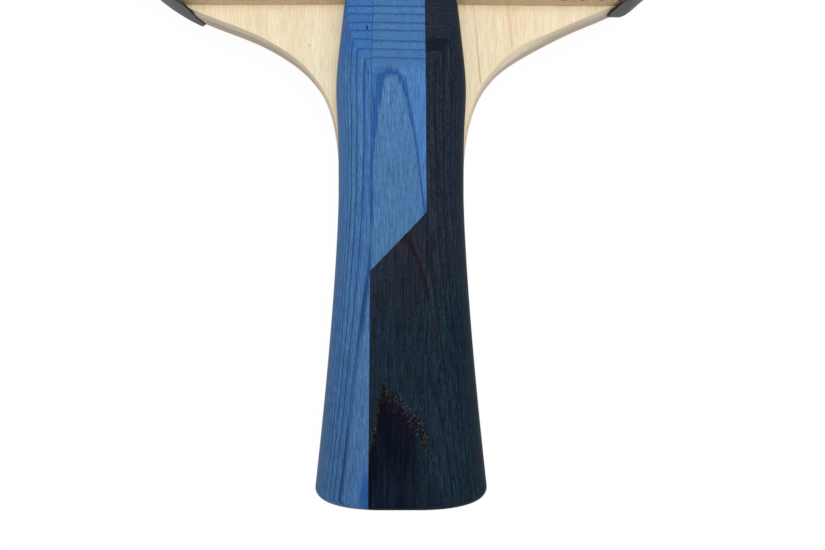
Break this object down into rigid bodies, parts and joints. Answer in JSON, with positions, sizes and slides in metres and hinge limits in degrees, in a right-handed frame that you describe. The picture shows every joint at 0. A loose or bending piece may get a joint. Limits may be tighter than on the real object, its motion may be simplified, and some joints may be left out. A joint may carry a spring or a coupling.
{
  "type": "table tennis paddle",
  "caption": "Table tennis paddle with a plywood blade, a flared handle of dyed wood staves, sponge-backed rubbers and an edge tape.",
  "frame": {"origin": "centre of the handle's butt end, on the blade's middle plane", "axes": "+Y up the handle to the head, +Z out of the front rubber, +X to the right in front view"},
  "size_m": [0.15, 0.2571, 0.0248],
  "materials": {
    "core_veneer": "bare sanded veneer",
    "pale_veneer": "bare sanded veneer",
    "dyed_blue_wood": "satin, dyed through",
    "dyed_black_wood": "satin, dyed through",
    "tan_sponge": "matt foam",
    "red_rubber": "smooth, slightly tacky",
    "black_rubber": "smooth, slightly tacky",
    "grey_tape": "satin film"
  },
  "bodies": {
    "root": {"core_ply": "core_veneer", "front_inner_ply": "core_veneer", "back_inner_ply": "core_veneer", "front_outer_ply": "pale_veneer", "back_outer_ply": "pale_veneer", "front_blue_stave": "dyed_blue_wood", "front_middle_stave_upper": "dyed_blue_wood", "front_middle_stave_lower": "dyed_black_wood", "front_dark_stave": "dyed_black_wood", "back_blue_stave": "dyed_blue_wood", "back_middle_stave_upper": "dyed_blue_wood", "back_middle_stave_lower": "dyed_black_wood", "back_dark_stave": "dyed_black_wood", "front_sponge": "tan_sponge", "front_topsheet": "red_rubber", "back_sponge": "tan_sponge", "back_topsheet": "black_rubber", "edge_tape": "grey_tape"}
  },
  "joints": []
}
